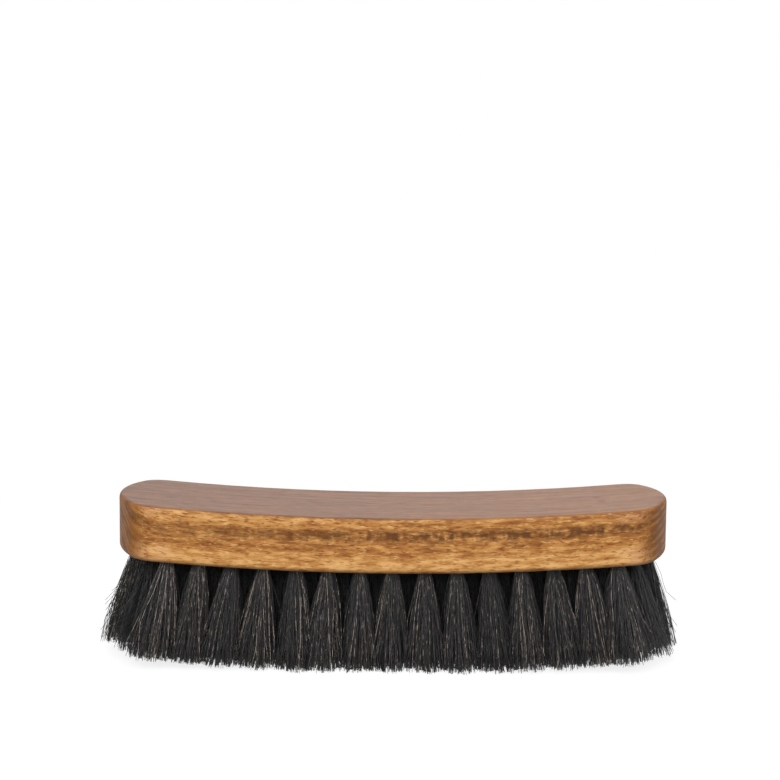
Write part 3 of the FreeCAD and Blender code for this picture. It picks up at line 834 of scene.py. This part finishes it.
planted = []
for row_number, row in enumerate(ROWS):
    rows_back = row_number - rows_to_side
    tuft_count = MIDDLE_ROW_TUFTS - round(abs(rows_back))
    seats = [seat(number - (tuft_count - 1) / 2, rows_back) for number in range(tuft_count)]
    row_seed = SEEDS_FOR_ROW * row_number
    shared_node = f"tufts_{row}"
    if shared_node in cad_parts:
        half = tuft_count // 2
        left_half = plant(f"hair_{row}_left", seats[:half], HAIRS_IN_TUFT[row], row_seed)
        right_seed = row_seed + SEEDS_FOR_HALF_ROW
        right_half = plant(f"hair_{row}_right", seats[half:], HAIRS_IN_TUFT[row], right_seed)
        planted += [(left_half, shared_node), (right_half, shared_node)]
    else:
        for number, one_seat in enumerate(seats):
            tag = f"{row}_{number + 1:02d}"
            at_end = number in (0, tuft_count - 1)
            hairs_here = HAIRS_IN_END_TUFT if at_end else HAIRS_IN_TUFT[row]
            one_tuft = plant(f"hair_{tag}", [one_seat], hairs_here, row_seed + SEEDS_FOR_TUFT * number)
            planted.append((one_tuft, f"tuft_{tag}"))

# the grown hair becomes plain meshes, which keep only what the material reads
KEPT_VALUE = "tone"
depsgraph = bpy.context.evaluated_depsgraph_get()
for piece, node in planted:
    grown = bpy.data.meshes.new_from_object(piece.evaluated_get(depsgraph))
    for value_name in (*SEAT_VALUES, *hair_values, "around"):
        if value_name != KEPT_VALUE:
            grown.attributes.remove(grown.attributes[value_name])
    piece.modifiers.clear()
    piece.data = grown
    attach(piece, "root")
    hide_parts(node)
bpy.data.objects.remove(blank)

# The floor
# A broad white sweep that the brush stands on. To the eye it is pure white away from the brush, and
# near it keeps the soft shadow; to the light it is a grey card, so that it throws little back.
FLOOR_HALF = 2.0
WHITE = (1.0, 1.0, 1.0, 1.0)
CARD_GREY = (0.5, 0.5, 0.5, 1.0)
SHADOW_GREY = (0.3, 0.3, 0.3, 1.0)
GLOW_NEAR_BRUSH = 0.82
GLOW_AWAY = 1.0
AWAY_FROM_BRUSH = (0.15, 0.35)


def seen_by_eye(graph):
    """1 for what the eye sees, also in a mirror or through glass, and 0 for what only lights other things."""
    rays = graph.node("ShaderNodeLightPath").outputs
    mirror_or_glass = graph.maths("MAXIMUM", rays["Is Glossy Ray"], rays["Is Transmission Ray"])
    return graph.maths("MAXIMUM", rays["Is Camera Ray"], mirror_or_glass)


sweep, ground, ground_surface = new_material("white_sweep")
card = ground.node("ShaderNodeBsdfDiffuse", {"Color": CARD_GREY}).outputs[0]
shadow_card = ground.node("ShaderNodeBsdfDiffuse", {"Color": SHADOW_GREY}).outputs[0]
glow = ground.node("ShaderNodeEmission", {"Color": WHITE, "Strength": GLOW_NEAR_BRUSH}).outputs[0]
white = ground.node("ShaderNodeEmission", {"Color": WHITE, "Strength": GLOW_AWAY}).outputs[0]
near_brush = ground.node("ShaderNodeAddShader", {0: shadow_card, 1: glow}).outputs[0]
floor_spot = ground.node("ShaderNodeTexCoord").outputs["Object"]
from_brush = ground.node("ShaderNodeVectorMath", {0: floor_spot}, operation="LENGTH").outputs["Value"]
away = ground.step(from_brush, *AWAY_FROM_BRUSH)
to_the_eye = ground.node("ShaderNodeMixShader", {0: away, 1: near_brush, 2: white}).outputs[0]
floor_look = ground.node("ShaderNodeMixShader", {0: seen_by_eye(ground), 1: card, 2: to_the_eye})
ground.tree.links.new(floor_look.outputs[0], ground_surface)
floor_mesh = bpy.data.meshes.new("floor")
floor_corners = [
    (-FLOOR_HALF, -FLOOR_HALF, 0),
    (FLOOR_HALF, -FLOOR_HALF, 0),
    (FLOOR_HALF, FLOOR_HALF, 0),
    (-FLOOR_HALF, FLOOR_HALF, 0),
]
floor_mesh.from_pydata(floor_corners, [], [(0, 1, 2, 3)])
floor_mesh.materials.append(sweep)
floor = bpy.data.objects.new("floor", floor_mesh)
bpy.context.scene.collection.objects.link(floor)

# The light
# Two broad soft boxes in front of the brush, a weaker one behind it and an even, weak light from all
# round. The eye sees a plain white backdrop.
FILL_LEVEL = 0.2
BACKDROP_LEVEL = 1.0
world = bpy.data.worlds.new("studio")
bpy.context.scene.world = world
world.use_nodes = True
world.node_tree.nodes.clear()
sky = Graph(world.node_tree)
fill = sky.node("ShaderNodeBackground", {"Color": WHITE, "Strength": FILL_LEVEL}).outputs[0]
backdrop = sky.node("ShaderNodeBackground", {"Color": WHITE, "Strength": BACKDROP_LEVEL}).outputs[0]
surroundings = sky.node("ShaderNodeMixShader", {0: seen_by_eye(sky), 1: fill, 2: backdrop})
sky.node("ShaderNodeOutputWorld", {"Surface": surroundings.outputs[0]})
block_middle = Vector((0.0, 0.0, block_low.z + BLOCK_HEIGHT / 2))


def softbox(name, azimuth, elevation, distance, size, watts):
    """A square light that faces the block. Azimuth 0 is in front of the brush."""
    turn = math.radians(azimuth)
    rise = math.radians(elevation)
    way = Vector((math.sin(turn) * math.cos(rise), -math.cos(turn) * math.cos(rise), math.sin(rise)))
    lamp = bpy.data.lights.new(name, "AREA")
    lamp.size = size
    lamp.energy = watts
    box = bpy.data.objects.new(name, lamp)
    box.location = block_middle + way * distance
    box.rotation_euler = way.to_track_quat("Z", "Y").to_euler()
    bpy.context.scene.collection.objects.link(box)


softbox("left_box", azimuth=-20, elevation=34, distance=1.0, size=0.6, watts=4.8)
softbox("right_box", azimuth=20, elevation=34, distance=1.0, size=0.6, watts=4.8)
softbox("rear_box", azimuth=180, elevation=55, distance=1.1, size=0.7, watts=2.6)

# The camera
# It stands in front of the brush, a little above it, and is tipped up so that the brush lies low in the
# square picture. It is turned and rolled by a fraction of a degree, as in the photograph.
PHOTO_PIXELS = 780
SENSOR_WIDTH = 36.0
CAMERA_DISTANCE = 0.700
CAMERA_ELEVATION = math.radians(11.2)
CAMERA_YAW = math.radians(-0.073)
CAMERA_ROLL = math.radians(0.516)
FOCAL_PIXELS = 2110.0
AIM_PIXELS = 141.4
TARGET_ALONG = -0.00133
camera_target = Vector((TARGET_ALONG, 0.0, block_middle.z))
backwards = Vector((math.sin(CAMERA_YAW) * math.cos(CAMERA_ELEVATION),
                    -math.cos(CAMERA_YAW) * math.cos(CAMERA_ELEVATION),
                    math.sin(CAMERA_ELEVATION)))
camera_data = bpy.data.cameras.new("camera")
camera_data.sensor_width = SENSOR_WIDTH
camera_data.lens = FOCAL_PIXELS / PHOTO_PIXELS * SENSOR_WIDTH
camera = bpy.data.objects.new("camera", camera_data)
facing = backwards.to_track_quat("Z", "Y").to_matrix().to_4x4()
aim = math.atan2(AIM_PIXELS, FOCAL_PIXELS)
camera.matrix_world = (Matrix.Translation(camera_target + backwards * CAMERA_DISTANCE) @ facing
                       @ Matrix.Rotation(aim, 4, "X") @ Matrix.Rotation(CAMERA_ROLL, 4, "Z"))
bpy.context.scene.collection.objects.link(camera)
bpy.context.scene.camera = camera
bpy.context.scene.view_settings.view_transform = "Standard"
